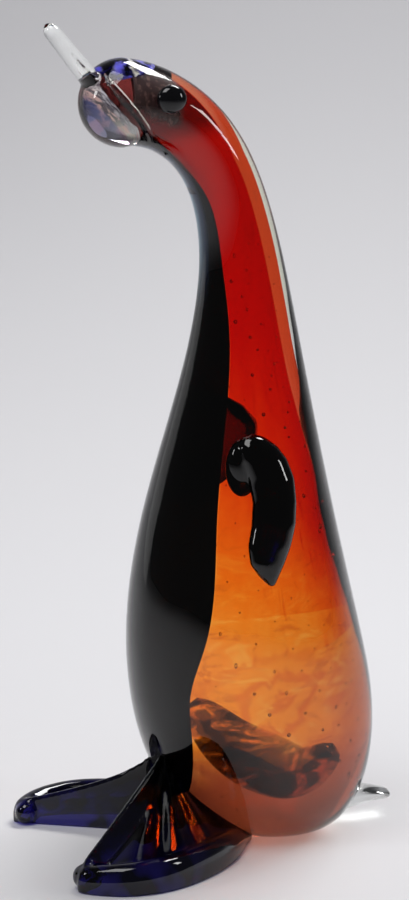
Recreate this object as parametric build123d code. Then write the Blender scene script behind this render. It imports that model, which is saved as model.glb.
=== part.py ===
from build123d import *
import os
from math import cos, degrees, pi, radians, sin, sqrt

# A hot-worked solid glass bird. Millimetres, +Z up, the bird faces -Y and its left is +X.
# The origin is the middle of the flat, polished face under the body.

# Body, from the resting face up to the head
base_radius = 14.0          # where the rounding under the body starts
belly_radius = 44.4
belly_height = 56.0
waist_height = 118.0
shoulder_height = 193.0
neck_height = 226.0
neck_radius = 13.0          # thinnest place, at the nape
neck_taper = 0.94           # how early the belly gives way to the neck
nape_rise = 31.5            # nape above the neck
head_rise = 44.5            # head centre above the neck
head_radius = 15.8
belly_lean = 10.5           # how far forward of the origin the centre line runs at each height
waist_lean = 15.0
shoulder_lean = 13.0
neck_lean = 16.5
nape_lean = 31.5
head_lean = 59.5
side_share = 0.95           # width of the body to its depth

# Clear casing over the coloured glass
casing_front = 2.0
casing_side = 4.0
casing_back_share = 0.42    # thick clear back, as a share of the local radius
casing_head_share = 0.16    # thinner over the head
casing_bottom = 6.0
casing_crown = 2.0          # over the top of the coloured glass inside the head
colour_corner = 12.0        # rounding height at the bottom of the coloured glass
colour_corner_scale = 0.7   # and its flat bottom, to the full section

# Coloured glass inside the casing
skin_thickness = 3.0        # breast and red overlays round the amber core
red_end_front = 62.0        # height at which the red overlay runs out
red_end_back = 96.0
crown_patch_radius = 15.0
crown_patch_ahead = 3.5     # of the head centre
crown_patch_rise = 2.7      # above the top of the head

# Slanted front of the head, where the clear beak is pressed on
face_ahead = 2.0            # a point on the face, from the head centre
face_rise = 1.3
face_slope = 50.0           # degrees above the floor
beak_length = 37.0          # from that point to the tip
beak_clearance = 0.1        # back of the tongue in front of the face
beak_root_width = 18.0
beak_root_depth = 7.0
beak_tip_width = 7.0
beak_tip_depth = 5.0

# Eyes
eye_radius = 5.2
eye_depth = 2.6
eye_behind = 13.0           # the head centre
eye_rise = 1.8
eye_sink = 1.0              # centre of the eye under the side of the head

# Flippers
flipper_width = 15.5
flipper_thickness = 11.0
flipper_top = 153.5
flipper_bottom = 101.0
flipper_stand = 3.6         # centre of the flipper outside the body's surface
flipper_left_bearing = 86.0     # degrees round from the front
flipper_right_bearing = -94.0
flipper_sweep = 8.0         # degrees that the tip swings forward
root_width = 9.0
root_height = 20.0
root_offset = 8.9           # round the body, forward of the flipper

# Feet
foot_top_side = 7.0
foot_top_lean = 49.0
foot_top_height = 31.0
foot_tip_side = 36.0
foot_tip_lean = 88.0
foot_rim_side = 50.0
foot_rim_lean = 64.0
foot_heel_side = 33.0
foot_heel_lean = 16.0
foot_left_spread = 1.2      # the left foot is pressed wider and longer than the right
foot_left_reach = 5.0
foot_rim_height = 9.0
foot_rib_radius = 3.2
foot_rib_root_radius = 1.6
foot_rib_height = 6.5       # centre of a rib at the rim
foot_rib_start = 19.0       # and at its upper end
foot_rib_share = 0.3        # how far down the fan that upper end is
foot_heel_lift = 26.0       # degrees that the sole rises behind the resting part
foot_sole_end = 40.0        # how far forward of the origin the sole leaves the floor

# Tail
tail_reach = 1.1            # tip beyond the widest part of the belly
tail_height = 5.5
tail_root_inset = 24.0      # length of the tail buried in the body before it is trimmed
tail_width = 18.0
tail_thickness = 13.0
tail_tip_width = 11.0
tail_tip_thickness = 3.0

# Smoky ribbon folded into the core
ribbon_width = 13.0
ribbon_thickness = 4.0
ribbon_height = 42.0

LARGE = 400.0
START_ANGLES = (0, 15, 30, 45, 60, 75)     # degrees up the rounding under the body
TRIM = 0.4      # ground off each bottom to make it flat
LEFT = 1
RIGHT = -1
DOME_SECTIONS = (0.35, 0.65, 0.86, 0.96)


centre_line = Spline(
    (0, 0, 0),
    (0, -belly_lean, belly_height),
    (0, -waist_lean, waist_height),
    (0, -shoulder_lean, shoulder_height),
    (0, -neck_lean, neck_height),
    (0, -nape_lean, neck_height + nape_rise),
    (0, -head_lean, neck_height + head_rise),
    tangents=[(0, 0, 1), (0, -1, 0.02)],
)
line_length = centre_line.length
head_height = neck_height + head_rise
face_point = Vector(0, -head_lean - face_ahead, head_height + face_rise)
tail_end = belly_radius + tail_reach
belly_run = belly_height
neck_run = neck_height + 24.0


def outer_radius(run):
    """Radius of the whole body at a distance along the centre line."""
    if run < belly_run:
        rise = min(1.0, (belly_run - run) / (belly_run + TRIM))
        return base_radius + (belly_radius - base_radius) * sqrt(1 - rise**2)
    if run < neck_run:
        share = ((run - belly_run) / (neck_run - belly_run)) ** neck_taper
        return (belly_radius + neck_radius) / 2 + (belly_radius - neck_radius) / 2 * cos(pi * share)
    share = min(1.0, (run - neck_run) / (line_length - neck_run))
    return neck_radius + (head_radius - neck_radius) * share**2


def section(run, front, back, side):
    """Elliptical slice across the centre line, with its own reach to the front and the back."""
    share = min(1.0, max(0.0, run / line_length))
    heading = centre_line % share
    origin = centre_line @ share + heading * (run - share * line_length)
    plane = Plane(origin=origin, x_dir=(1, 0, 0), z_dir=heading)
    middle = origin + plane.y_dir * ((back - front) / 2)
    plane = Plane(origin=middle, x_dir=(1, 0, 0), z_dir=heading)
    return plane * Ellipse(side, (front + back) / 2)


def glass_body(bottom, reach, top_gap, corner=TRIM, corner_scale=1.0):
    """Loft from a flat bottom to a rounded head; reach(run) gives front, back and side."""
    runs = []
    for angle in START_ANGLES:
        runs.append(belly_run - (belly_run - bottom + TRIM) * cos(radians(angle)))
    step_count = 7
    for step in range(step_count + 1):
        runs.append(belly_run + (neck_run - belly_run) * step / step_count)
    head_steps = 4
    for step in range(1, head_steps + 1):
        runs.append(neck_run + (line_length - neck_run) * step / head_steps)
    slices = []
    for run in runs:
        front, back, side = reach(run)
        scale = 1.0
        rise = (run - bottom + TRIM) / corner
        if rise < 1:
            scale = corner_scale + (1 - corner_scale) * sqrt(1 - (1 - rise) ** 2)
        slices.append(section(run, front * scale, back * scale, side * scale))
    front, back, side = reach(line_length)
    dome = head_radius - top_gap
    for share in DOME_SECTIONS:
        scale = sqrt(1 - share**2)
        slices.append(
            section(line_length + dome * share, front * scale, back * scale, side * scale)
        )
    end = centre_line @ 1 + (centre_line % 1) * dome
    return loft([*slices, Vertex(*end)])


def outer_reach(run):
    radius = outer_radius(run)
    return radius, radius, radius * side_share


def colour_reach(run):
    radius = outer_radius(run)
    into_head = min(1.0, max(0.0, (run - neck_run) / (line_length - neck_run)))
    cover = casing_back_share + (casing_head_share - casing_back_share) * into_head
    back = radius * (1 - cover)
    return radius - casing_front, back, radius * side_share - casing_side


def core_reach(run):
    front, back, side = colour_reach(run)
    return front - skin_thickness, back - skin_thickness, side - skin_thickness


def front_tool():
    """Everything in front of the line where the dark breast meets the red back."""
    edge = Spline(
        (0, -belly_lean - 25.5, 0),
        (0, -belly_lean - 32, belly_height - 13),
        (0, -belly_lean - 33.5, belly_height + 4),
        (0, -belly_lean - 29, belly_height + 24),
        (0, -waist_lean - 18.3, waist_height + 7),
        (0, -shoulder_lean - 10.5, shoulder_height - 5),
        (0, -neck_lean - 8, neck_height - 11),
        (0, -neck_lean - 12.5, neck_height + 10),
        (0, -nape_lean - 8.5, neck_height + nape_rise - 7),
        (0, -head_lean + 5.5, head_height - 9.5),
    )
    top = edge @ 1
    outline = Wire([
        edge,
        Line(top, (0, -LARGE, top.Z)),
        Line((0, -LARGE, top.Z), (0, -LARGE, 0)),
        Line((0, -LARGE, 0), edge @ 0),
    ])
    return extrude(Face(outline), amount=LARGE / 2, dir=(1, 0, 0), both=True)


def face_tool():
    """Everything in front of the slanted face of the head."""
    slope = radians(face_slope)
    normal = (0, -sin(slope), -cos(slope))
    plane = Plane(origin=face_point, x_dir=(1, 0, 0), z_dir=normal)
    size = 3 * head_radius
    return plane * Box(size, size, size, align=(Align.CENTER, Align.CENTER, Align.MIN))


def below(height):
    """Everything under a level."""
    return Pos(0, 0, height) * Box(LARGE, LARGE, LARGE, align=(Align.CENTER, Align.CENTER, Align.MAX))


def largest(shape):
    return max(shape.solids(), key=lambda solid: solid.volume)


def make_tongue():
    """The free, tapered part of the beak, lying along the slanted face."""
    slope = radians(face_slope)
    along = Vector(0, -cos(slope), sin(slope))
    stand = beak_root_depth / 2 + beak_clearance
    start = face_point + Vector(0, -sin(slope), -cos(slope)) * stand
    slices = []
    for share in (0.0, 0.3, 0.6, 0.85, 0.95):
        width = beak_root_width + (beak_tip_width - beak_root_width) * share**0.7
        depth = beak_root_depth + (beak_tip_depth - beak_root_depth) * share**0.7
        plane = Plane(origin=start + along * (beak_length * share), x_dir=(1, 0, 0), z_dir=along)
        slices.append(plane * Ellipse(width / 2, depth / 2))
    tip = start + along * beak_length
    return loft([*slices, Vertex(*tip)])


def make_eye(side):
    reach = head_radius * side_share - eye_sink
    spot = Pos(side * reach, eye_behind - head_lean, head_height + eye_rise) * Rot(0, 90, 0)
    ball = scale(Sphere(eye_radius), by=(1, 1, eye_depth / eye_radius))
    return spot * ball


def surface_point(bearing, height, stand):
    """A point beside the body at a bearing from the front, outside its surface by stand."""
    share = height / neck_height
    near = centre_line @ (share * neck_run / line_length)
    radius = outer_radius(share * neck_run) + stand
    turn = radians(bearing)
    return Vector(side_share * radius * sin(turn), near.Y - radius * cos(turn), height)


def make_flipper(bearing):
    """A bent paddle pressed on the side of the body, with a flat root in front of its top."""
    side = 1 if bearing > 0 else -1
    slices = []
    span = flipper_top - flipper_bottom
    top = surface_point(bearing - side * 2, flipper_top, flipper_stand - 1)
    slices.append(Vertex(*top))
    for share in (0.04, 0.15, 0.35, 0.6, 0.82, 0.95):
        swing = side * flipper_sweep * (share - 0.25) ** 2 / 0.5625
        centre = surface_point(bearing - swing, flipper_top - span * share, flipper_stand)
        fullness = sqrt(1 - abs(2 * share - 1) ** 3)
        plane = Plane(origin=centre, x_dir=(0, 1, 0), z_dir=(0, 0, -1))
        turned = plane.rotated((0, 0, -bearing + side * 90))
        slices.append(turned * Ellipse(flipper_width / 2 * fullness, flipper_thickness / 2 * fullness))
    tip = surface_point(bearing - side * flipper_sweep, flipper_bottom, flipper_stand)
    slices.append(Vertex(*tip))
    paddle = loft(slices)
    root_middle = flipper_top - root_height / 2 - 2
    turn = degrees(root_offset / outer_radius(neck_run * root_middle / neck_height))
    spot = surface_point(bearing - side * turn, root_middle, 0)
    slim = root_width / root_height
    root = Pos(*spot) * scale(Sphere(root_height / 2), by=(slim, 1.1 * slim, 1))
    return paddle + root


def make_foot(side, spread, reach):
    """A fan pulled forward and out from the front of the body, pressed into ribs."""
    top = Vector(side * foot_top_side, -foot_top_lean, foot_top_height)
    rim = [
        (foot_tip_side, foot_tip_lean),
        (foot_tip_side + 9, foot_tip_lean - 2),
        (foot_rim_side, foot_rim_lean + 10),
        (foot_rim_side, foot_rim_lean),
        (foot_rim_side - 3, foot_rim_lean - 14),
        (foot_rim_side - 7, foot_rim_lean - 28),
        (foot_heel_side, foot_heel_lean),
        (foot_heel_side / 2, foot_heel_lean),
        (foot_top_side, foot_top_lean - 14),
        (foot_top_side, foot_top_lean - 2),
        ((foot_tip_side + foot_top_side) / 2 - 1, (foot_tip_lean + foot_top_lean) / 2),
    ]
    run = foot_tip_lean - foot_top_lean
    spread_rim = []
    for x, lean in rim:
        ahead = max(0.0, lean - foot_top_lean) / run
        wider = foot_top_side + (x - foot_top_side) * spread
        spread_rim.append((wider if x > foot_top_side else x, lean + reach * ahead))
    rim = spread_rim
    slices = []
    levels = (
        (0.0, 0.97),
        (3.5, 1.0),
        (foot_rim_height, 0.93),
        (14.0, 0.66),
        (20.0, 0.4),
        (26.0, 0.2),
        (30.5, 0.06),
    )
    for height, share in levels:
        points = []
        for x, lean in rim:
            corner = Vector(side * x, -lean, 0)
            flat_top = Vector(top.X, top.Y, 0)
            place = flat_top + (corner - flat_top) * share
            points.append((place.X, place.Y, height))
        slices.append(Face(Wire([Spline(*points, periodic=True)])))
    fan = loft(slices)
    for x, lean in rim[2:6]:
        end = Vector(side * (x - foot_rib_radius), -lean, foot_rib_height)
        start = top + (end - top) * foot_rib_share
        start.Z = foot_rib_start
        run = end - start
        base = Plane(origin=start, z_dir=run)
        rib = base * Cone(
            foot_rib_root_radius,
            foot_rib_radius,
            run.length,
            align=(Align.CENTER, Align.CENTER, Align.MIN),
        )
        fan = fan + rib + Pos(*end) * Sphere(foot_rib_radius)
    lift = Pos(0, -foot_sole_end, 0) * Rot(foot_heel_lift, 0, 0)
    under = lift * Box(LARGE, LARGE, LARGE, align=(Align.CENTER, Align.MIN, Align.MAX))
    return fan - under


def make_tail():
    across = {"x_dir": (1, 0, 0), "z_dir": (0, 1, 0)}
    root = Plane(origin=(0, tail_end - tail_root_inset, tail_height), **across)
    middle = Plane(origin=(0, tail_end - tail_root_inset / 2, tail_height), **across)
    tip = Plane(origin=(0, tail_end, tail_height - 0.5), **across)
    return loft([
        root * Ellipse(tail_width / 2, tail_thickness / 2),
        middle * Ellipse((tail_width + tail_tip_width) / 4, (tail_thickness + tail_tip_thickness) / 4),
        tip * Ellipse(tail_tip_width / 2, tail_tip_thickness / 2),
    ])


def make_ribbon():
    """A smoky sheet folded into the amber, running back from the breast."""
    path = Spline(
        (12, -34, ribbon_height + 6),
        (16, -22, ribbon_height - 3),
        (10, -8, ribbon_height - 7),
        (0, 1, ribbon_height - 5),
        (-6, 4, ribbon_height + 3),
    )
    slices = []
    for share in (0.0, 0.25, 0.5, 0.75, 1.0):
        plane = Plane(origin=path @ share, x_dir=(0, 0, 1), z_dir=path % share)
        swell = 0.6 + 0.4 * sin(pi * share)
        slices.append(plane * Ellipse(ribbon_width / 2 * swell, ribbon_thickness / 2 * swell))
    return loft(slices)


floor = below(0)
core_bottom = casing_bottom + skin_thickness
core_crown = casing_crown + skin_thickness
rounding = {"corner": colour_corner, "corner_scale": colour_corner_scale}
outer = glass_body(0.0, outer_reach, 0.0) - floor
colour = glass_body(casing_bottom, colour_reach, casing_crown, **rounding) - below(casing_bottom)
core = glass_body(core_bottom, core_reach, core_crown, **rounding) - below(core_bottom)
face = face_tool()
front = front_tool()

eyes = {"eye_left": make_eye(LEFT), "eye_right": make_eye(RIGHT)}
head_and_body = outer - face
colour = largest(colour - face)
core = largest(core - face)
skin = colour - core
crown_height = head_height + head_radius + crown_patch_rise
crown_ball = Pos(0, -head_lean - crown_patch_ahead, crown_height) * Sphere(crown_patch_radius)
breast = largest(skin & front)
back_skin = skin - front
run_out = Plane(
    origin=(0, -belly_lean, (red_end_front + red_end_back) / 2),
    x_dir=(1, 0, 0),
    z_dir=(0, -(red_end_back - red_end_front) / (2 * belly_radius), 1),
)
above = run_out * Box(LARGE, LARGE, LARGE, align=(Align.CENTER, Align.CENTER, Align.MIN))
red_skin = back_skin & above
crown_patch = largest(red_skin & crown_ball)
red_overlay = largest(red_skin - crown_ball)
ribbon = make_ribbon() & core
amber = largest(colour - breast - (back_skin & above)) - ribbon
casing = head_and_body - colour

pieces = {
    "clear_casing": casing,
    "red_overlay": red_overlay,
    "amber_core": amber,
    "breast_overlay": breast,
    "smoke_ribbon": ribbon,
    "crown_patch": crown_patch,
}
for name, eye in eyes.items():
    pieces[name] = eye
    for host in ("clear_casing", "red_overlay", "amber_core", "crown_patch"):
        pieces[host] = pieces[host] - eye
pieces["beak"] = largest(outer & face) + make_tongue()
pieces["flipper_left"] = make_flipper(flipper_left_bearing) - outer
pieces["flipper_right"] = make_flipper(flipper_right_bearing) - outer
pieces["foot_left"] = make_foot(LEFT, foot_left_spread, foot_left_reach) - outer - floor
pieces["foot_right"] = make_foot(RIGHT, 1.0, 0.0) - outer - floor - pieces["foot_left"]
pieces["tail"] = make_tail() - outer - floor

os.makedirs("parts", exist_ok=True)
for name, piece in pieces.items():
    solid = largest(piece)
    export_step(solid, f"parts/{name}.step")
    box = solid.bounding_box()
    print(name, len(piece.solids()), round(solid.volume), [round(v, 1) for v in (*box.min, *box.max)])
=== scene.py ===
from math import cos, pi, radians, sin, sqrt, tau

import bmesh
import bpy
import numpy as np
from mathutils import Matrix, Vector


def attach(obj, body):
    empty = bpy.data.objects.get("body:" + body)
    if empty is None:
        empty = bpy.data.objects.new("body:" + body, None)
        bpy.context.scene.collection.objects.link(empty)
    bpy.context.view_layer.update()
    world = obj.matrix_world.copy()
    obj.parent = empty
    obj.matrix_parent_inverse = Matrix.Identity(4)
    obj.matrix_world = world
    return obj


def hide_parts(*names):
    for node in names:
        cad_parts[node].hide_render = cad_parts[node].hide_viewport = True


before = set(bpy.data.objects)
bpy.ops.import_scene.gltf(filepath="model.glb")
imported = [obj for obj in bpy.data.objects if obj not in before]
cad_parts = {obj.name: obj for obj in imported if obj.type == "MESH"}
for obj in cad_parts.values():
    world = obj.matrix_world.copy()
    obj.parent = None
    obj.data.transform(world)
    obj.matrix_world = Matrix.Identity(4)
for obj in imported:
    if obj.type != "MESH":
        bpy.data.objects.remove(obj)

# A hot-worked solid glass bird on a pale sweep. Shapes are worked out in millimetres, then
# stored in metres: +Z up, the bird faces -Y, and its left is +X.

MM = 0.001
LEFT, RIGHT = 1, -1
SIDE_NAMES = {LEFT: "left", RIGHT: "right"}
ACROSS, BACK, UP = Vector((1, 0, 0)), Vector((0, 1, 0)), Vector((0, 0, 1))
SOFTEN = radians(40)        # edges sharper than this stay sharp when the surface is shaded smooth
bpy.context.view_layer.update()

# ---------------------------------------------------------------- sizes, as in the solid parts

base_radius = 14.0
belly_radius = 44.4
belly_height = 56.0
waist_height = 118.0
shoulder_height = 193.0
neck_height = 226.0
neck_radius = 13.0
neck_taper = 0.94
nape_rise = 31.5
head_rise = 44.5
head_radius = 15.8
belly_lean, waist_lean, shoulder_lean = 10.5, 15.0, 13.0
neck_lean, nape_lean, head_lean = 16.5, 31.5, 59.5
side_share = 0.95

casing_front = 2.0
casing_side = 4.0
casing_back_share = 0.42
casing_head_share = 0.16
casing_belly_thinning = 0.13
casing_bottom = 6.0
casing_crown = 2.0
skin_thickness = 3.0
seam = 0.12                 # hairline between fused layers, so that no two faces share a place

face_slope = 50.0
face_ahead = 2.0
face_rise = 1.3
face_point = Vector((0, -head_lean - face_ahead, neck_height + head_rise + face_rise))
face_along = Vector((0, -cos(radians(face_slope)), sin(radians(face_slope))))
face_normal = Vector((0, -sin(radians(face_slope)), -cos(radians(face_slope))))
HEAD = -25.0                # lowest place along the slanted face that belongs to the head

eye_behind = 13.0
eye_rise = 1.8
eye_sink = 0.6
eye_half_width, eye_half_height, eye_half_depth = 5.5, 5.1, 3.3

beak_length = 37.3
beak_root_sink = 3.0
beak_root_width, beak_tip_width = 10.5, 3.4     # halves, as are the depths
beak_root_depth, beak_tip_depth = 3.8, 2.8
bead_half_width, bead_half_height = 14.9, 19.0

tail_start, tail_reach = 20.0, 26.0


class SmoothLine:
    """A smooth curve through points, measured by the distance along it."""

    def __init__(self, knots, start, end):
        self.knots = np.array(knots, float)
        gaps = np.linalg.norm(np.diff(self.knots, axis=0), axis=1)
        self.stops = np.concatenate([[0], np.cumsum(gaps)])
        count = len(knots)
        system = np.zeros((count, count))
        wanted = np.zeros((count, 3))
        system[0, 0] = system[-1, -1] = 1
        wanted[0] = Vector(start).normalized()
        wanted[-1] = Vector(end).normalized()
        for i in range(1, count - 1):
            before, after = gaps[i - 1], gaps[i]
            system[i, i - 1 : i + 2] = after, 2 * (before + after), before
            rise_before = (self.knots[i] - self.knots[i - 1]) / before
            rise_after = (self.knots[i + 1] - self.knots[i]) / after
            wanted[i] = 3 * (after * rise_before + before * rise_after)
        self.slopes = np.linalg.solve(system, wanted)
        self.shares = np.linspace(0, self.stops[-1], 600)
        places = np.array([self._place(s)[0] for s in self.shares])
        steps = np.linalg.norm(np.diff(places, axis=0), axis=1)
        self.runs = np.concatenate([[0], np.cumsum(steps)])
        self.length = self.runs[-1]

    def _place(self, s):
        """Point and slope at a distance measured straight from knot to knot."""
        i = min(int(np.searchsorted(self.stops, s, side="right")) - 1, len(self.knots) - 2)
        gap = self.stops[i + 1] - self.stops[i]
        t = (s - self.stops[i]) / gap
        a, b = self.knots[i], self.knots[i + 1]
        m, n = self.slopes[i] * gap, self.slopes[i + 1] * gap
        place = (2*t**3 - 3*t**2 + 1) * a + (t**3 - 2*t**2 + t) * m
        place = place + (3*t**2 - 2*t**3) * b + (t**3 - t**2) * n
        heading = (6*t**2 - 6*t) * a + (3*t**2 - 4*t + 1) * m + (6*t - 6*t**2) * b + (3*t**2 - 2*t) * n
        return place, heading

    def at(self, run):
        """Point and heading at a distance along the curve, straight on past either end."""
        inside = min(max(run, 0.0), self.length)
        place, heading = self._place(np.interp(inside, self.runs, self.shares))
        heading = Vector(heading).normalized()
        return Vector(place) + heading * (run - inside), heading


centre = SmoothLine(
    [
        (0, 0, 0),
        (0, -belly_lean, belly_height),
        (0, -waist_lean, waist_height),
        (0, -shoulder_lean, shoulder_height),
        (0, -neck_lean, neck_height),
        (0, -nape_lean, neck_height + nape_rise),
        (0, -head_lean, neck_height + head_rise),
    ],
    (0, 0, 1),
    (0, -1, 0.02),
)
belly_run = belly_height
neck_run = neck_height + 24.0


def outer_radius(run):
    """Radius of the whole body at a distance along the centre line."""
    if run < belly_run:
        rise = min(1.0, (belly_run - run) / (belly_run + 0.4))
        return base_radius + (belly_radius - base_radius) * sqrt(1 - rise**2)
    if run < neck_run:
        share = ((run - belly_run) / (neck_run - belly_run)) ** neck_taper
        return (belly_radius + neck_radius) / 2 + (belly_radius - neck_radius) / 2 * cos(pi * share)
    share = min(1.0, (run - neck_run) / (centre.length - neck_run))
    return neck_radius + (head_radius - neck_radius) * share**2


def outer_reach(run):
    """Reach of the whole body to the front, back and side."""
    radius = outer_radius(run)
    return radius, radius, radius * side_share


def ease(value, low, high):
    """0 at low, 1 at high, smooth between; low may be the larger."""
    share = min(1.0, max(0.0, (value - low) / (high - low)))
    return share * share * (3 - 2 * share)


def colour_reach(run):
    """Reach of the coloured glass to the front, back and side."""
    radius = outer_radius(run)
    into_head = min(1.0, max(0.0, (run - neck_run) / (centre.length - neck_run)))
    cover = casing_back_share + (casing_head_share - casing_back_share) * into_head
    cover -= casing_belly_thinning * ease(run, 190, 110)
    return radius - casing_front, radius * (1 - cover), radius * side_share - casing_side


# Height of the edge between the breast and the red, and its place from front to back.
split_line = [
    (0, -36), (43, -42.5), (60, -44), (80, -39.6), (125, -33.3), (188, -23.5),
    (215, -24.5), (236, -29), (250.5, -40), (261, -54),
]
split = SmoothLine([(0, y, z) for z, y in split_line], (0, -0.2, 1), (0, -1, 0.5))

known_turns = {}


def split_turn(run):
    """How far round from the front the breast reaches at a section."""
    if run in known_turns:
        return known_turns[run]
    low, high = 0.0, pi
    heights = split.knots[:, 2]
    for _ in range(20):
        middle = (low + high) / 2
        point = ring_point(run, colour_reach(run), middle)
        stop = np.interp(point.z, heights, split.stops)
        edge, heading = split._place(min(stop, split.stops[-1]))
        if (point - Vector(edge)).cross(Vector(heading)).x < 0:
            low = middle
        else:
            high = middle
    known_turns[run] = low
    return low


def skin_depth(run, turn):
    """Thickness of the skin over the core: the breast in front, and the red where it has not run out."""
    past = abs((turn + pi) % tau - pi) - split_turn(run)
    throat = 1.1 * ease(run, 170, 225) * (1 - ease(past, -0.5, 0.1))
    return skin_thickness * (max(1 - ease(past, 0.0, 0.12), ease(run, 66, 100), 0.06) + throat)


def ring_point(run, reach, turn, inset=0.0):
    """A point of the section across the centre line; turn 0 is the front, growing to the left."""
    front, back, side = (value - inset for value in reach)
    place, heading = centre.at(run)
    rear = heading.cross(Vector((1, 0, 0)))
    middle = place + rear * ((back - front) / 2)
    return middle + rear * (-cos(turn) * (front + back) / 2) + Vector((sin(turn) * side, 0, 0))


def corner_scale(run, bottom, corner, flat):
    """Share of the reach left where the bottom edge is rounded."""
    rise = (run - bottom) / corner
    if rise >= 1:
        return 1.0
    return flat + (1 - flat) * sqrt(max(0.0, 1 - (1 - rise) ** 2))


def body_runs(bottom, rows):
    """Distances of the sections: close together in the rounding under the body and in the head."""
    runs = [belly_run - (belly_run - bottom) * cos(angle) for angle in np.linspace(0, pi / 2, rows // 3)]
    runs += list(np.linspace(belly_run, neck_run, rows // 2)[1:])
    runs += list(np.linspace(neck_run, centre.length, rows // 6)[1:])
    return runs


# ---------------------------------------------------------------- mesh helpers


def mesh_piece(name, points, faces, nodes, paint):
    """A piece of the bird, from points in millimetres."""
    mesh = bpy.data.meshes.new(name)
    mesh.from_pydata([tuple(Vector(p) * MM) for p in points], [], faces)
    tidy = bmesh.new()
    tidy.from_mesh(mesh)
    bmesh.ops.recalc_face_normals(tidy, faces=tidy.faces)
    tidy.to_mesh(mesh)
    tidy.free()
    return as_piece(name, mesh, nodes, paint)


def as_piece(name, mesh, nodes, paint):
    """Puts a finished mesh in the scene, on the bird's one body; paint is one material or more."""
    piece = bpy.data.objects.new(name, mesh)
    bpy.context.scene.collection.objects.link(piece)
    mesh.shade_smooth()
    mesh.set_sharp_from_angle(angle=SOFTEN)
    for material in paint if isinstance(paint, list) else [paint]:
        mesh.materials.append(material)
    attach(piece, "root")
    if nodes:
        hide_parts(*nodes)
    return piece


def skin_rings(rings, close_ends=True):
    """Points and faces of a tube through rings of equal count, its ends closed with fans."""
    points = [point for ring in rings for point in ring]
    count = len(rings[0])
    faces = []
    for first in range(0, (len(rings) - 1) * count, count):
        for i in range(count):
            j = (i + 1) % count
            faces.append((first + i, first + j, first + count + j, first + count + i))
    if close_ends:
        for start in (0, (len(rings) - 1) * count):
            middle = sum((Vector(p) for p in points[start : start + count]), Vector()) / count
            points.append(middle)
            hub = len(points) - 1
            faces += [(start + i, start + (i + 1) % count, hub) for i in range(count)]
    return points, faces


def together(tubes):
    """Points and faces of several tubes as one mesh."""
    points, faces = [], []
    for more_points, more_faces in tubes:
        offset = len(points)
        points += more_points
        faces += [tuple(i + offset for i in face) for face in more_faces]
    return points, faces


def body_rings(bottom, reach, crown_gap, corner=0.4, flat=0.97, around=144, inset=None):
    """Rings of a glass body from its flat bottom to the rounded end of the head."""
    rows = 150
    floor_steps = (0.25, 0.5, 0.75, 0.97)       # shares of the bottom's reach, inside out
    rings = []
    turns = [tau * i / around for i in range(around)]
    runs = body_runs(bottom, rows)
    steps = [(runs[0], share) for share in floor_steps] + [(run, 1.0) for run in runs]
    for run, share in steps:
        scale = corner_scale(run, bottom, corner, flat) * share
        values = [value * scale for value in reach(run)]
        depths = [inset(run, turn) + seam if inset else 0.0 for turn in turns]
        rings.append([ring_point(run, values, turn, depth) for turn, depth in zip(turns, depths)])
    sink = skin_thickness + seam if inset else 0.0
    dome = head_radius - crown_gap - sink
    for angle in np.linspace(0, pi / 2, rows // 7)[1:-1]:
        values = [(value - sink) * cos(angle) for value in reach(centre.length)]
        rings.append([ring_point(centre.length + dome * sin(angle), values, turn) for turn in turns])
    return rings


def smooth_solid(parts, voxel, rounds):
    """One rounded mesh from overlapping closed shapes, as glass fused hot."""
    shapes = bmesh.new()
    for points, faces in parts:
        start = [shapes.verts.new(Vector(p) * MM) for p in points]
        for face in faces:
            shapes.faces.new([start[i] for i in face])
    bmesh.ops.recalc_face_normals(shapes, faces=shapes.faces)
    mesh = bpy.data.meshes.new("rough")
    shapes.to_mesh(mesh)
    shapes.free()
    rough = bpy.data.objects.new("rough", mesh)
    bpy.context.scene.collection.objects.link(rough)
    remesh = rough.modifiers.new("fuse", "REMESH")
    remesh.mode = "VOXEL"
    remesh.voxel_size = voxel * MM
    relax = rough.modifiers.new("relax", "SMOOTH")
    relax.factor = 0.5
    relax.iterations = rounds
    graph = bpy.context.evaluated_depsgraph_get()
    fused = bpy.data.meshes.new_from_object(rough.evaluated_get(graph))
    bpy.data.objects.remove(rough)
    bpy.data.meshes.remove(mesh)
    return fused


def cut(mesh, point, normal, keep_front, cap_material=0, above=None):
    """Cuts a mesh along a plane, closed with a flat face; only what lies above a mark on the face line."""
    shape = bmesh.new()
    shape.from_mesh(mesh)
    verts = shape.verts[:]
    if above is not None:
        verts = [v for v in verts if (v.co / MM - face_point).dot(face_along) > above]
    inside = set(verts)
    edges = [edge for edge in shape.edges if inside.issuperset(edge.verts)]
    faces = [face for face in shape.faces if inside.issuperset(face.verts)]
    sheet = bmesh.ops.bisect_plane(
        shape,
        geom=verts + edges + faces,
        dist=1e-7,
        plane_co=Vector(point) * MM,
        plane_no=normal,
        clear_outer=not keep_front,
        clear_inner=keep_front,
    )
    edges = [item for item in sheet["geom_cut"] if isinstance(item, bmesh.types.BMEdge)]
    for face in bmesh.ops.edgeloop_fill(shape, edges=edges)["faces"]:
        face.material_index = cap_material
    bmesh.ops.recalc_face_normals(shape, faces=shape.faces)
    shape.to_mesh(mesh)
    shape.free()


def ellipse(middle, across, up, half_width, half_height, count=32):
    """A ring of points."""
    return [
        middle + across * (half_width * cos(tau * i / count)) + up * (half_height * sin(tau * i / count))
        for i in range(count)
    ]


# ---------------------------------------------------------------- materials

GLASS = 1.5
FUSED = 1.0                 # no bending of light between layers fused together
NO_TINT = (1, 1, 1, 1)


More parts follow.
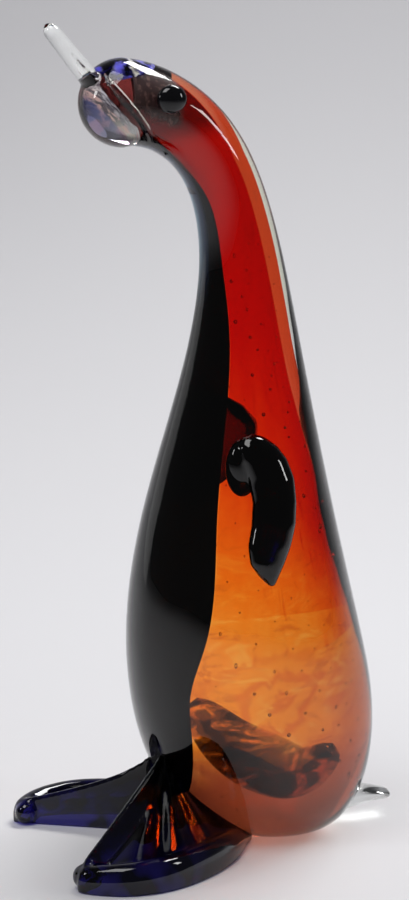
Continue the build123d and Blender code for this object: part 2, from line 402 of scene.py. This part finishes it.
class Value:
    """A number in a material's node tree, for sums written as plain expressions."""

    def __init__(self, tree, socket):
        self.tree = tree
        self.socket = socket

    def _math(self, operation, *items):
        node = self.tree.nodes.new("ShaderNodeMath")
        node.operation = operation
        for place, item in zip(node.inputs, items):
            if isinstance(item, Value):
                self.tree.links.new(item.socket, place)
            else:
                place.default_value = item
        return Value(self.tree, node.outputs[0])

    def __add__(self, other):
        return self._math("ADD", self, other)

    def __sub__(self, other):
        return self._math("SUBTRACT", self, other)

    def __mul__(self, other):
        return self._math("MULTIPLY", self, other)

    def __radd__(self, other):
        return self._math("ADD", other, self)

    def __rsub__(self, other):
        return self._math("SUBTRACT", other, self)

    def __rmul__(self, other):
        return self._math("MULTIPLY", other, self)

    def __abs__(self):
        return self._math("ABSOLUTE", self)

    def sine(self):
        return self._math("SINE", self)

    def root(self):
        return self._math("SQRT", self)

    def most(self, other):
        return self._math("MAXIMUM", self, other)


class Paint:
    """A material under construction."""

    def __init__(self, name):
        self.material = bpy.data.materials.new(name)
        self.material.use_nodes = True
        self.tree = self.material.node_tree
        self.tree.nodes.clear()
        self.out = self.add("ShaderNodeOutputMaterial")
        place = self.add("ShaderNodeTexCoord")
        self.place = self.add(
            "ShaderNodeVectorMath",
            {"operation": "SCALE"},
            {"Vector": place.outputs["Object"], "Scale": 1 / MM},
        ).outputs["Vector"]
        parts = self.add("ShaderNodeSeparateXYZ", {}, {"Vector": self.place})
        self.x, self.y, self.z = (Value(self.tree, socket) for socket in parts.outputs)

    def add(self, kind, settings=None, feeds=None):
        """Adds a node: its kind, then its settings, then what its sockets take."""
        node = self.tree.nodes.new(kind)
        for key, value in (settings or {}).items():
            setattr(node, key, value)
        for key, value in (feeds or {}).items():
            socket = node.inputs[key]
            if isinstance(value, Value):
                self.tree.links.new(value.socket, socket)
            elif isinstance(value, bpy.types.NodeSocket):
                self.tree.links.new(value, socket)
            else:
                socket.default_value = value
        return node

    def ease(self, value, low, high):
        """0 below low, 1 above high, smooth between; low may be the larger."""
        node = self.add(
            "ShaderNodeMapRange",
            {"interpolation_type": "SMOOTHSTEP"},
            {"Value": value, "From Min": low, "From Max": high},
        )
        return Value(self.tree, node.outputs["Result"])

    def blend(self, first, second, factor):
        """Colour between two colours."""
        node = self.add("ShaderNodeMix", {"data_type": "RGBA"}, {0: factor, 6: first, 7: second})
        return node.outputs[2]

    def stretch(self, x, y, z, shift=(0, 0, 0)):
        """The place in millimetres, scaled along each axis."""
        node = self.add(
            "ShaderNodeVectorMath",
            {"operation": "MULTIPLY_ADD"},
            {0: self.place, 1: (x, y, z), 2: shift},
        )
        return node.outputs["Vector"]

    def noise(self, vector, detail=2.0, bend=0.0, roughness=0.5):
        """Soft random lumps, about 0 to 1."""
        node = self.add(
            "ShaderNodeTexNoise",
            {"noise_dimensions": "3D"},
            {
                "Vector": vector,
                "Scale": 1.0,
                "Detail": detail,
                "Roughness": roughness,
                "Distortion": bend,
            },
        )
        return Value(self.tree, node.outputs["Fac"])

    def mix(self, first, second, factor):
        """Shader between two shaders."""
        node = self.add("ShaderNodeMixShader", {}, {0: factor, 1: first, 2: second})
        return node.outputs[0]

    def solid(self, colour, roughness):
        """Glass so full of froth or colour that no light gets through, or paper."""
        feeds = {"Base Color": colour, "Roughness": roughness, "IOR": GLASS}
        return self.add("ShaderNodeBsdfPrincipled", {}, feeds).outputs[0]

    def glass(self, colour, ior, normal=None):
        """See-through glass; its colour is what is left of the light after going in and out."""
        feeds = {"Base Color": colour, "IOR": ior, "Roughness": 0.0, "Transmission Weight": 1.0}
        if normal is not None:
            feeds["Normal"] = normal
        return self.add("ShaderNodeBsdfPrincipled", {}, feeds).outputs[0]

    def finish(self, shader, shadow=None):
        """Ends the material; glass with a shadow tint lets that much light through to the floor."""
        if shadow is not None:
            clear = self.add("ShaderNodeBsdfTransparent", {}, {"Color": shadow})
            path = self.add("ShaderNodeLightPath")
            shader = self.mix(shader, clear.outputs[0], path.outputs["Is Shadow Ray"])
        self.tree.links.new(shader, self.out.inputs["Surface"])
        return self.material

    def bump(self, height, strength, distance):
        """Normal of a surface raised by a height."""
        feeds = {"Height": height, "Strength": strength, "Distance": distance}
        return self.add("ShaderNodeBump", {}, feeds).outputs["Normal"]


def clear_glass(name, wave, tint=1.0):
    """Clear glass with a wavy skin, brownish behind the belly and straw up the nape."""
    paint = Paint(name)
    lumps = paint.noise(paint.stretch(0.045, 0.045, 0.03), detail=1.0)
    normal = paint.bump(lumps, wave, 1.0 * MM)
    rear = paint.ease(paint.y, 2, 14) * paint.ease(paint.z, 205, 150)
    body = (0.97 * tint, 0.985 * tint, 0.97 * tint, 1)
    colour = paint.blend(body, (0.74, 0.66, 0.58, 1), rear * paint.ease(paint.z, 24, 44))
    nape = paint.ease(paint.z, 170, 205) * paint.ease(paint.z, 282, 262)
    colour = paint.blend(colour, (0.94, 0.95, 0.80, 1), nape)
    return paint.finish(paint.glass(colour, GLASS, normal=normal), (0.86, 0.87, 0.86, 1))


def fused_face():
    """The slanted face where the pad is fused on: froth above, clear below, a blue edge."""
    paint = Paint("fused_face")
    froth = paint.noise(paint.stretch(0.7, 0.7, 0.7), detail=4.0)
    colour = paint.blend((0.03, 0.02, 0.03, 1), (0.55, 0.45, 0.48, 1), paint.ease(froth, 0.42, 0.7))
    colour = paint.blend(colour, (0.92, 0.86, 0.88, 1), paint.ease(paint.z, 268, 262))
    along = (paint.y - face_point.y) * face_along.y + (paint.z - face_point.z) * face_along.z
    out = (paint.x * paint.x + along * along * 0.62).root()
    red_froth = paint.ease(out, 8, 10) * paint.ease(froth, 0.48, 0.58) * 0.6
    colour = paint.blend(colour, (0.70, 0.20, 0.19, 1), red_froth)
    blue_rim = paint.ease(out, 11.5, 13.0) * paint.ease(along, 6, -6) * 0.7
    colour = paint.blend(colour, (0.03, 0.04, 0.26, 1), blue_rim)
    return paint.finish(paint.glass(colour, FUSED), NO_TINT)


def amber_paint():
    """Amber below, orange above, stirred into a swirl and folds on the left side."""
    paint = Paint("amber_glass")
    sway = paint.noise(paint.stretch(0.03, 0.03, 0.05), detail=2.0, bend=1.2)
    folds = paint.noise(
        paint.stretch(0.04, 0.06, 0.13, (3, 1, 7)), detail=5.0, bend=1.4, roughness=0.6
    )
    level = paint.z + (sway - 0.5) * 34
    near = paint.ease(paint.x, 4, 14)
    colour = paint.blend((0.95, 0.27, 0.022, 1), (0.96, 0.15, 0.005, 1), paint.ease(level, 84, 150))

    pale = paint.ease(folds, 0.5, 0.68) * paint.ease(level, 150, 90)
    colour = paint.blend(colour, (1.0, 0.48, 0.09, 1), pale * near)
    smoke = paint.ease(folds, 0.46, 0.30) * paint.ease(level, 150, 70)
    colour = paint.blend(colour, (0.62, 0.12, 0.015, 1), smoke * near)

    swirl_y, swirl_z = -13, 57
    across = (paint.y - swirl_y + (sway - 0.5) * 30) * 0.62
    rise = paint.z - swirl_z + (folds - 0.5) * 16
    reach = (across * across + rise * rise).root()
    turns = ((reach * 0.8 + (sway - 0.5) * 7).sine() + 1) * 0.5
    swirl = paint.ease(turns, 0.45, 1.0) * paint.ease(reach, 30, 8) * near
    colour = paint.blend(colour, (0.72, 0.09, 0.012, 1), swirl * 0.75)

    # darker towards the bottom
    colour = paint.blend(colour, (0.34, 0.06, 0.022, 1), paint.ease(level, 44, 24))
    rear = paint.ease(paint.y, 0, 22) * paint.ease(paint.z, 78, 50)
    colour = paint.blend(colour, (0.60, 0.12, 0.05, 1), rear * 0.8)
    colour = paint.blend(colour, (0.26, 0.04, 0.035, 1), paint.ease(paint.z, 256, 264))
    return paint.finish(paint.glass(colour, FUSED), (0.46, 0.36, 0.33, 1))


def red_paint():
    """Ruby over the neck and shoulders, thinning to nothing at the belly, in long streaks."""
    paint = Paint("red_glass")
    streaks = paint.noise(paint.stretch(0.3, 0.3, 0.008, (5, 2, 0)), detail=3.0, bend=0.4)
    level = paint.z + (streaks - 0.5) * 44
    rear = paint.ease(paint.y, -10, 12)
    thin = paint.ease(level + rear * 55, 196, 92)
    colour = paint.blend((0.76, 0.075, 0.022, 1), (1.0, 0.80, 0.50, 1), thin)

    lines = paint.ease(streaks, 0.58, 0.70) * paint.ease(paint.z, 60, 110)
    lines = lines * paint.ease(paint.y, -26, -8) * paint.ease(paint.x, 0, 6)
    colour = paint.blend(colour, (0.62, 0.08, 0.03, 1), lines * 0.9)
    deep_rear = rear * paint.ease(paint.z, 84, 120) * 0.9
    colour = paint.blend(colour, (0.74, 0.05, 0.012, 1), deep_rear)
    far_throat = paint.ease(paint.x, -5, -8) * paint.ease(paint.z, 170, 205)
    colour = paint.blend(colour, (0.86, 0.90, 1.0, 1), far_throat * paint.ease(paint.y, -16, -24))
    run_out = paint.ease(level + rear * 22, 98, 74)
    colour = paint.blend(colour, (1, 0.98, 0.98, 1), run_out)

    froth = paint.noise(paint.stretch(0.5, 0.5, 0.5), detail=3.0)
    behind = paint.y + (head_lean - eye_behind) + (froth - 0.5) * 5
    above = paint.z - (neck_height + head_rise + eye_rise) + (froth - 0.5) * 5
    cheek = paint.ease(behind, 7, 3) * paint.ease(above + behind * 0.35, -10, -6)
    cheek = cheek * paint.ease(paint.x, 3, 6)
    murk = paint.blend((0.028, 0.008, 0.009, 1), (0.15, 0.075, 0.07, 1), paint.ease(froth, 0.48, 0.72))
    shader = paint.mix(paint.glass(colour, FUSED), paint.solid(murk, 0.4), cheek * 0.85)
    return paint.finish(shader, (0.7, 0.56, 0.53, 1))


def breast_paint():
    """Cobalt so dense that it looks black; up the throat, where it was drawn out thin, an opaque blue with
    painted light that pales towards the far edge, as if light shone through the thin skin.
    """
    paint = Paint("breast_glass")
    # thin cobalt up the throat, made opaque, with painted light: it pales towards the far edge, standing
    # in for light shining through the thin skin
    throat = paint.ease(paint.z, 190, 236) * paint.ease(paint.x, 4.0, 0.5)
    veil_with_painted_glow = paint.blend((0.006, 0.03, 0.11, 1), (0.16, 0.36, 0.58, 1), paint.ease(paint.x, 1.0, -4.0))
    glass = paint.glass((0.001, 0.001, 0.003, 1), FUSED)
    return paint.finish(paint.mix(glass, paint.solid(veil_with_painted_glow, 0.4), throat), (0.02, 0.02, 0.05, 1))


NEAR_BLACK = (0.0001, 0.0001, 0.0006, 1)
DEEP_MAROON = (0.10, 0.016, 0.014, 1)


def dark_glass(name, thin_low, thin_high, lit_part, deep=NEAR_BLACK):
    """Cobalt glass, near black where thick and ultramarine in patches of its lit part."""
    paint = Paint(name)
    patches = paint.noise(paint.stretch(0.09, 0.09, 0.09), detail=1.0)
    thin = paint.ease(patches, thin_low, thin_high) * lit_part(paint)
    colour = paint.blend(deep, (0.005, 0.003, 0.10, 1), thin)
    return paint.finish(paint.glass(colour, GLASS), (0.12, 0.11, 0.3, 1))


def crown_paint():
    """Cobalt cap, part see-through and part cloudy, split by a pale, crazed crack."""
    paint = Paint("cobalt_glass")
    patches = paint.noise(paint.stretch(0.2, 0.2, 0.2), detail=2.0)
    cloudy = paint.ease(patches, 0.5, 0.62)
    wander = paint.noise(paint.stretch(0.22, 0.22, 0.22, (4, 4, 4)), detail=3.0)
    crack = paint.ease(abs(paint.y + 57.5 + (wander - 0.5) * 7), 1.3, 0.5)
    grain = paint.ease(paint.noise(paint.stretch(1.1, 1.1, 1.1), detail=2.0), 0.35, 0.65)
    blue = paint.blend((0.012, 0.01, 0.10, 1), (0.05, 0.04, 0.55, 1), paint.ease(patches, 0.5, 0.7))
    chalk = paint.blend((0.08, 0.07, 0.10, 1), (0.55, 0.53, 0.46, 1), grain)
    glass = paint.glass((0.04, 0.035, 0.3, 1), FUSED)
    solid = paint.solid(paint.blend(blue, chalk, crack), 0.35)
    return paint.finish(paint.mix(glass, solid, cloudy.most(crack)), (0.2, 0.2, 0.6, 1))


def smoke_paint():
    """Smoke drawn through the amber, fading out at its edges."""
    paint = Paint("smoky_glass")
    folds = paint.noise(paint.stretch(0.08, 0.08, 0.16, (1, 8, 3)), detail=4.0, bend=1.6)
    gaps = paint.ease(folds, 0.46, 0.68)
    colour = paint.blend((0.045, 0.03, 0.025, 1), (0.9, 0.62, 0.42, 1), gaps)
    rim = paint.add("ShaderNodeLayerWeight", {}, {"Blend": 0.5})
    edge = Value(paint.tree, rim.outputs["Facing"])
    colour = paint.blend(colour, (1, 0.95, 0.9, 1), paint.ease(edge, 0.12, 0.75))
    return paint.finish(paint.glass(colour, FUSED), (0.6, 0.5, 0.45, 1))


def bubble_paint():
    """The wall of a bubble, where light goes from glass into air."""
    paint = Paint("bubble")
    return paint.finish(paint.glass(NO_TINT, 1 / GLASS), NO_TINT)


def eye_paint():
    paint = Paint("black_glass")
    depth = paint.noise(paint.stretch(0.3, 0.3, 0.3), detail=1.0)
    colour = paint.blend((0.002, 0.002, 0.003, 1), (0.005, 0.005, 0.007, 1), depth)
    return paint.finish(paint.solid(colour, 0.03))


# ---------------------------------------------------------------- body


def make_casing(clear, fused):
    points, faces = skin_rings(body_rings(0.0, outer_reach, 0.0))
    piece = mesh_piece("casing_clear", points, faces, ["clear_casing"], [clear, fused])
    cut(piece.data, face_point - face_normal * (seam / 2), face_normal, False, 1, HEAD)
    piece.data.set_sharp_from_angle(angle=SOFTEN)


def make_core():
    """The amber inside the skins, well rounded at its bottom."""
    bottom = casing_bottom + 1.5
    rings = body_rings(bottom, colour_reach, casing_crown, 14.0, 0.66, inset=skin_depth)
    points, faces = skin_rings(rings)
    piece = mesh_piece("core_amber", points, faces, ["amber_core"], amber_paint())
    cut(piece.data, face_point - face_normal, face_normal, False, 0, HEAD)


def shell(rows, turns_at, runs, depth, inset=seam / 2):
    """Closed strip of skin between the casing and the core; turns_at gives its two sides."""
    rings = []
    for run in runs:
        start, end = turns_at(run)
        outside = colour_reach(run)
        turns = np.linspace(start, end, rows)
        shares = [min(1.0, max(0.0, 0.02 + 0.98 * i / (rows - 1))) for i in range(rows)]
        thick = [sin(pi * share) ** 0.25 for share in shares]
        ring = [ring_point(run, outside, turn, inset) for turn in turns]
        for turn, share in zip(turns[::-1], thick[::-1]):
            outer = ring_point(run, outside, turn, inset)
            inner = ring_point(run, outside, turn, depth(run, turn) - inset)
            ring.append(outer.lerp(inner, max(0.08, share)))
        rings.append(ring)
    points, faces = skin_rings(rings, False)
    for first in (0, (len(rings) - 1) * 2 * rows):
        last = first + 2 * rows - 1
        faces += [(first + i, first + i + 1, last - i - 1, last - i) for i in range(rows - 1)]
    return points, faces


def make_breast():
    """The cobalt skin down the throat and breast."""
    runs = np.linspace(13.5, 288, 90)
    runs = [run for run in runs if split_turn(run) > 0.12]

    def sides(run):
        turn = split_turn(run)
        return -turn, turn

    points, faces = shell(56, sides, runs, lambda run, turn: skin_thickness)
    nodes = ["breast_overlay"]
    mesh_piece("breast_cobalt", points, faces, nodes, breast_paint())


def make_red():
    """The ruby skin round the rest of the core, from the belly up."""
    runs = np.linspace(74, centre.length - 0.2, 90)

    def sides(run):
        turn = max(split_turn(run) + 0.015, 0.02)
        return turn, tau - turn

    points, faces = shell(96, sides, runs, skin_depth)
    piece = mesh_piece("overlay_red", points, faces, ["red_overlay"], red_paint())
    cut(piece.data, face_point - face_normal * 0.6, face_normal, False, 0, HEAD)


def crown_ring(share, lift, bulge):
    """A ring of the crown patch, at a share of its spread from its middle."""
    middle_past, half_length = 3.5, 11.5        # along the head, from the head's centre
    near_turn, far_turn = 0.9, 0.45
    count = 40
    ring = []
    for i in range(count):
        around = tau * i / count
        run = centre.length + middle_past + half_length * share * cos(around)
        turn = pi + (far_turn if sin(around) > 0 else near_turn) * share * sin(around)
        past = max(0.0, run - centre.length) / head_radius
        scale = sqrt(max(0.02, 1 - past**2))
        raised = lift * (1 - share**4) if bulge else lift
        reach = [(value + raised) * scale for value in colour_reach(min(run, centre.length))]
        ring.append(ring_point(run, reach, turn))
    return ring


def make_crown():
    """A cap of cobalt over the front of the head, just above the red."""
    shares = np.linspace(0.02, 1, 12)
    rings = [crown_ring(share, 0.35, False) for share in shares[::-1]]
    rings += [crown_ring(share, 1.35, True) for share in shares]
    points, faces = skin_rings(rings)
    piece = mesh_piece("crown_cobalt", points, faces, ["crown_patch"], crown_paint())
    cut(piece.data, face_point - face_normal * 0.3, face_normal, False)


def make_smoke():
    """Sheets of smoke folded into the core, running back from the breast."""
    sheets = [
        # course from the breast to the back, width, thickness
        ([(16, -38, 57), (20, -27, 43), (17, -12, 33), (11, 2, 29), (6, 12, 34)], 21, 4.0),
        ([(26, -31, 41), (21, -14, 29), (14, 0, 26), (8, 10, 33)], 11, 3.0),
    ]
    tubes = []
    for knots, width, thickness in sheets:
        start = Vector(knots[1]) - Vector(knots[0])
        end = Vector(knots[-1]) - Vector(knots[-2])
        line = SmoothLine(knots, start, end)
        rings = []
        for share in np.linspace(0.01, 0.99, 30):
            place, heading = line.at(line.length * share)
            up = Vector((0.25 * sin(5 * share), 0.2, 1)).normalized()
            across = heading.cross(up).normalized()
            rise = across.cross(heading)
            swell = sin(pi * share) ** 0.4
            rings.append(ellipse(place, across, rise, thickness / 2 * swell, width / 2 * swell, 24))
        tubes.append(skin_rings(rings))
    points, faces = together(tubes)
    mesh_piece("ribbon_smoke", points, faces, ["smoke_ribbon"], smoke_paint())


def make_eye(side, paint):
    """A dot of glass pressed on the side of the head."""
    out = side * (head_radius * side_share - eye_sink)
    spot = Vector((out, eye_behind - head_lean, neck_height + head_rise + eye_rise))
    rings = []
    for angle in np.linspace(-pi / 2, pi / 2, 26)[1:-1]:
        middle = spot + Vector((sin(angle) * eye_half_depth * side, 0, 0))
        width, height = eye_half_width * cos(angle), eye_half_height * cos(angle)
        rings.append(ellipse(middle, BACK, UP, width, height, 48))
    points, faces = skin_rings(rings)
    name = SIDE_NAMES[side]
    mesh_piece(f"eye_ball_{name}", points, faces, [f"eye_{name}"], paint)


def beak_tongue():
    """The flat tongue, from its root in the pad to its rounded tip."""
    rings = []
    for share in np.linspace(0.0, 1.0, 24):
        along = -beak_root_sink + (beak_length + beak_root_sink) * share
        width = beak_root_width + (beak_tip_width - beak_root_width) * share**0.7
        depth = beak_root_depth + (beak_tip_depth - beak_root_depth) * share
        if share > 0.9:
            round_off = sqrt(max(0.05, 1 - ((share - 0.9) / 0.1) ** 2))
            width, depth = width * round_off, depth * round_off
        middle = face_point + face_along * along + face_normal * (3.1 - 0.2 * share)
        rings.append(ellipse(middle, ACROSS, face_normal, width, depth))
    return skin_rings(rings)


def beak_bead():
    """The raised edge of the pad, sinking out of sight where the tongue leaves it."""
    rings = []
    for angle in np.linspace(0, tau, 97)[:-1]:
        out = ACROSS * (bead_half_width * cos(angle)) + face_along * (bead_half_height * sin(angle))
        sink = 3.2 * ease(sin(angle), 0.55, 0.85)
        middle = face_point - face_along * 0.4 + out + face_normal * (1.0 - sink)
        rings.append(ellipse(middle, out.normalized(), face_normal, 1.15, 1.3, 16))
    rings.append(rings[0])
    return skin_rings(rings, False)


def make_beak(fused):
    """A round pad fused on the slanted face, drawn up into a tapering tongue."""
    pad_rings = 46              # the last rings of the body, which take in the whole head
    pad = skin_rings(body_rings(0.0, outer_reach, 0.0, around=96)[-pad_rings:])
    mesh = smooth_solid([pad, beak_tongue(), beak_bead()], 0.5, 8)
    cut(mesh, face_point + face_normal * (seam / 2), face_normal, True, 1)
    as_piece("beak_clear", mesh, ["beak"], [clear_glass("beak_glass", 0.5), fused])


# ---------------------------------------------------------------- flippers, feet, tail


def beside_body(bearing, height, stand):
    """A point beside the body at a bearing from the front, and the way out from the body there."""
    run = height / neck_height * neck_run
    place, _ = centre.at(run)
    radius = outer_radius(run) + stand
    turn = radians(bearing)
    out = Vector((sin(turn), -cos(turn), 0))
    return Vector((side_share * radius * out.x, place.y + radius * out.y, height)), out


def make_flipper(side, bearing, lift):
    """A bent paddle pressed on the side, with a flattened root in front of its top."""
    rows = [
        # height, shift towards the back, half width, half thickness
        (153.8, -5.0, 0.6, 0.6), (152.6, -5.0, 4.2, 2.6), (149.5, -3.6, 7.2, 4.3), (145.0, -1.4, 8.5, 5.2),
        (138.0, 1.2, 8.5, 5.6), (130.0, 2.1, 8.1, 5.6), (122.0, 1.4, 8.2, 5.4), (115.0, -0.4, 8.0, 5.0),
        (109.0, -1.5, 6.4, 4.2), (104.5, -1.2, 3.6, 3.0), (101.6, -0.4, 1.4, 1.3), (100.9, -0.3, 0.4, 0.4),
    ]
    rows = np.array(rows)
    stops = np.linspace(0, 1, len(rows))
    rings = []
    for share in np.linspace(0, 1, 60):
        height, shift, width, thickness = (np.interp(share, stops, rows[:, i]) for i in range(4))
        place, out = beside_body(bearing * side, height + lift, 3.4)
        across = UP.cross(out) * side
        ring = ellipse(Vector(), across, out, width, thickness, 40)
        rings.append([place + across * shift + point for point in ring])
    root, out = beside_body((bearing - 18) * side, 141.5 + lift, 0.4)
    across = UP.cross(out) * side
    lobe = []
    for angle in np.linspace(-pi / 2, pi / 2, 20)[1:-1]:
        middle = root + UP * (10.5 * sin(angle))
        lobe.append(ellipse(middle, across, out, 5.8 * cos(angle), 4.6 * cos(angle), 28))
    mesh = smooth_solid([skin_rings(rings), skin_rings(lobe)], 0.6, 6)
    name = SIDE_NAMES[side]
    deep = NEAR_BLACK if side == LEFT else DEEP_MAROON
    paint = dark_glass(f"flipper_glass_{name}", 0.52, 0.66, lambda p: p.ease(p.z, 138, 128), deep)
    as_piece(f"flipper_paddle_{name}", mesh, [f"flipper_{name}"], paint)


def make_foot(side, top_height, rim_points, sag):
    """A fan pulled out hot, pressed into ribs, with a thick roll along its rim."""
    top = Vector((7.0, -47.0, top_height))
    rim = SmoothLine([(x, -ahead, 0) for x, ahead in rim_points], (0.8, -0.5, 0), (-1, 0.8, 0))
    rings = []
    steps, rows = 100, 48
    for i in range(steps + 1):
        share = i / steps
        edge, _ = rim.at(rim.length * share)
        away = Vector((edge.x - top.x, edge.y - top.y, 0))
        pressed = 0.5 - 0.5 * cos(tau * 4.5 * share**0.9)
        roll = 3.0 + 2.9 * sin(pi * min(1.0, share + 0.08)) ** 0.6
        high, low = [], []
        for t in np.linspace(0.0, 1.0, rows):
            gap = (1 - t) * away.length
            crest = 1 - ease(rim.length * share * t, 1.5, 8.0)
            line = top.z + (8.5 - top.z) * t**sag
            fan = top.z + (5.0 - top.z) * t ** (sag * 0.78) - 1.4 * pressed * sin(pi * t) ** 0.7
            height = fan + (line - fan) * crest
            if gap < 2 * roll:
                bank = roll + sqrt(max(0.0, roll**2 - (roll - gap) ** 2))
                height = bank if gap < roll else max(height, bank)
            x, y = side * (top.x + away.x * t), top.y + away.y * t
            high.append(Vector((x, y, height)))
            low.append(Vector((x, y, 0.0)))
        rings.append(high + low[::-1])
    tip = rings[0][rows - 1]
    knob = []                   # a round drop at the toe
    for angle in np.linspace(-pi / 2, pi / 2, 16)[1:-1]:
        middle = Vector((tip.x - side * 2.2, tip.y + 3.2, 4.4 + 4.4 * sin(angle)))
        knob.append(ellipse(middle, ACROSS, BACK, 4.0 * cos(angle), 4.0 * cos(angle), 24))
    mesh = smooth_solid([skin_rings(rings), skin_rings(knob)], 0.7, 12)

    def lit_part(paint):
        return paint.ease(paint.z, 16, 4) * paint.ease(paint.y, -44, -70)

    name = SIDE_NAMES[side]
    paint = dark_glass(f"foot_glass_{name}", 0.42, 0.66, lit_part)
    as_piece(f"foot_fan_{name}", mesh, [f"foot_{name}"], paint)


def make_tail():
    """A fin pulled out of the clear glass behind the base."""
    rings = []
    for share in np.linspace(0, 1, 24):
        run = tail_start + tail_reach * share
        width = 9.5 + (5.5 - 9.5) * share
        thickness = 6.8 + (2.0 - 6.8) * share**0.9
        if share > 0.92:
            round_off = sqrt(max(0.04, 1 - ((share - 0.92) / 0.08) ** 2))
            width, thickness = width * round_off, thickness * round_off
        height = 6.9 - 0.4 * share + 1.6 * sin(3.0 * share)
        middle = Vector((1.5 * sin(3 * share), run, height))
        rings.append(ellipse(middle, Vector((1, 0, 0.12)), UP, width, thickness))
    points, faces = skin_rings(rings)
    paint = clear_glass("tail_glass", 1.0, 0.72)
    mesh_piece("tail_clear", points, faces, ["tail"], paint)


def make_bubbles():
    """Seeds of air caught in the casing and the core, spread by the golden ratio."""
    tubes = []
    golden = (sqrt(5) - 1) / 2
    count = 170
    for i in range(count):
        share = (i * golden) % 1.0
        other = (i * golden * golden * 7.3) % 1.0
        run = 8 + 215 * (i / count) ** 1.5
        turn = radians(40 + 150 * share)
        reach = [value - 1.2 - 6 * other for value in colour_reach(run)]
        size = 0.2 + 0.5 * ((i * 0.37) % 1.0) ** 3
        middle = ring_point(run, reach, turn)
        long = 1.0 + 1.2 * ((i * 0.73) % 1.0) ** 3
        rings = []
        for angle in np.linspace(-pi / 2, pi / 2, 8)[1:-1]:
            spot = middle + UP * (size * long * sin(angle))
            rings.append(ellipse(spot, ACROSS, BACK, size * cos(angle), size * cos(angle), 10))
        tubes.append(skin_rings(rings))
    points, faces = together(tubes)
    mesh_piece("seed_bubbles", points, faces, [], bubble_paint())


fused = fused_face()
eye = eye_paint()
make_casing(clear_glass("clear_glass", 0.35), fused)
make_core()
make_breast()
make_red()
make_crown()
make_smoke()
for side in (LEFT, RIGHT):
    make_eye(side, eye)
make_beak(fused)
make_flipper(LEFT, 86.0, 0.0)
make_flipper(RIGHT, 95.0, 9.0)
# The rim of each foot, from toe to heel, as distance out to the side and distance ahead.
make_foot(
    LEFT,
    37.0,
    [(46, 95), (54, 90), (59.5, 79), (60, 69), (56, 56), (48, 43), (37, 31), (26, 23), (16, 16)],
    0.9,
)
make_foot(
    RIGHT,
    32.0,
    [(36, 90), (43, 86), (47.5, 77), (49, 66), (46, 52), (40, 38), (32, 28), (24, 21), (16, 16)],
    0.55,
)
make_tail()
make_bubbles()

# ---------------------------------------------------------------- stage

AZIMUTH = radians(68.0)
ELEVATION = radians(11.0)
CAMERA_DISTANCE = 1.15      # metres, as is everything on the stage
aim = Vector((0, -28.4, 144.1)) * MM
toward = Vector((sin(AZIMUTH) * cos(ELEVATION), -cos(AZIMUTH) * cos(ELEVATION), sin(ELEVATION)))
level = Vector((sin(AZIMUTH), -cos(AZIMUTH), 0))
right = Vector((cos(AZIMUTH), sin(AZIMUTH), 0))


def sweep_paint():
    """Pale paper, with painted shade that darkens it up the wall; seen from its back it is not there."""
    paint = Paint("sweep_paper")
    grain = paint.noise(paint.stretch(0.002, 0.002, 0.002), detail=1.0)
    colour = paint.blend((0.78, 0.775, 0.80, 1), (0.80, 0.795, 0.815, 1), grain)
    # painted shade: the paper grows darker with height up the wall, as if less light reached it
    colour = paint.blend(colour, (0.48, 0.475, 0.495, 1), paint.ease(paint.z, -70, 300))
    nothing = paint.add("ShaderNodeBsdfTransparent").outputs[0]
    behind = paint.add("ShaderNodeNewGeometry").outputs["Backfacing"]
    return paint.finish(paint.mix(paint.solid(colour, 0.55), nothing, behind))


def make_sweep():
    """A floor that curves up into a wall behind the bird."""
    front, floor_end, bend, wall_top, half_width = 2.2, -0.45, 0.55, 2.4, 2.4
    profile = [(front, 0.0), (floor_end, 0.0)]
    for angle in np.linspace(0, pi / 2, 24)[1:]:
        profile.append((floor_end - bend * sin(angle), bend * (1 - cos(angle))))
    profile.append((floor_end - bend, wall_top))
    points = []
    for across in (-half_width, half_width):
        points += [level * away + right * across + UP * height for away, height in profile]
    count = len(profile)
    faces = [(count + i, count + i + 1, i + 1, i) for i in range(count - 1)]
    mesh = bpy.data.meshes.new("sweep")
    mesh.from_pydata([tuple(p) for p in points], [], faces)
    mesh.shade_smooth()
    sweep = bpy.data.objects.new("sweep", mesh)
    mesh.materials.append(sweep_paint())
    bpy.context.scene.collection.objects.link(sweep)


def make_light(name, toward_camera, to_right, up, size, power):
    """A panel of light facing the bird, placed from the bird's middle."""
    target = Vector((0, -0.03, 0.15))
    place = target + level * toward_camera + right * to_right + UP * up
    lamp = bpy.data.lights.new(name, "AREA")
    lamp.shape = "RECTANGLE"
    lamp.size, lamp.size_y = size
    lamp.energy = power
    light = bpy.data.objects.new(name, lamp)
    bpy.context.scene.collection.objects.link(light)
    light.location = place
    light.rotation_mode = "QUATERNION"
    light.rotation_quaternion = (target - place).to_track_quat("-Z", "Y")


make_sweep()
make_light("overhead", -0.5, 0.35, 0.95, (0.7, 0.24), 10)
make_light("floor_fill", 0.4, -0.3, 1.2, (0.7, 0.7), 7.6)
make_light("left_panel", -0.7, -0.95, 0.1, (0.7, 1.0), 0.9)
make_light("right_strip", 0.15, 0.9, 0.38, (0.1, 0.26), 0.9)
make_light("left_strip", 0.3, -0.9, 0.4, (0.1, 0.24), 0.9)

world = bpy.data.worlds.new("room")
bpy.context.scene.world = world
world.use_nodes = True
background = world.node_tree.nodes["Background"]
background.inputs["Color"].default_value = (0.5, 0.5, 0.52, 1)
background.inputs["Strength"].default_value = 0.12

camera_data = bpy.data.cameras.new("camera")
camera_data.lens = 127.07
camera_data.sensor_width = 36.0
camera_data.clip_start = 0.01
camera = bpy.data.objects.new("camera", camera_data)
bpy.context.scene.collection.objects.link(camera)
camera.location = aim + toward * CAMERA_DISTANCE
camera.rotation_mode = "QUATERNION"
camera.rotation_quaternion = (-toward).to_track_quat("-Z", "Y")
bpy.context.scene.camera = camera
bpy.context.scene.view_settings.view_transform = "Standard"
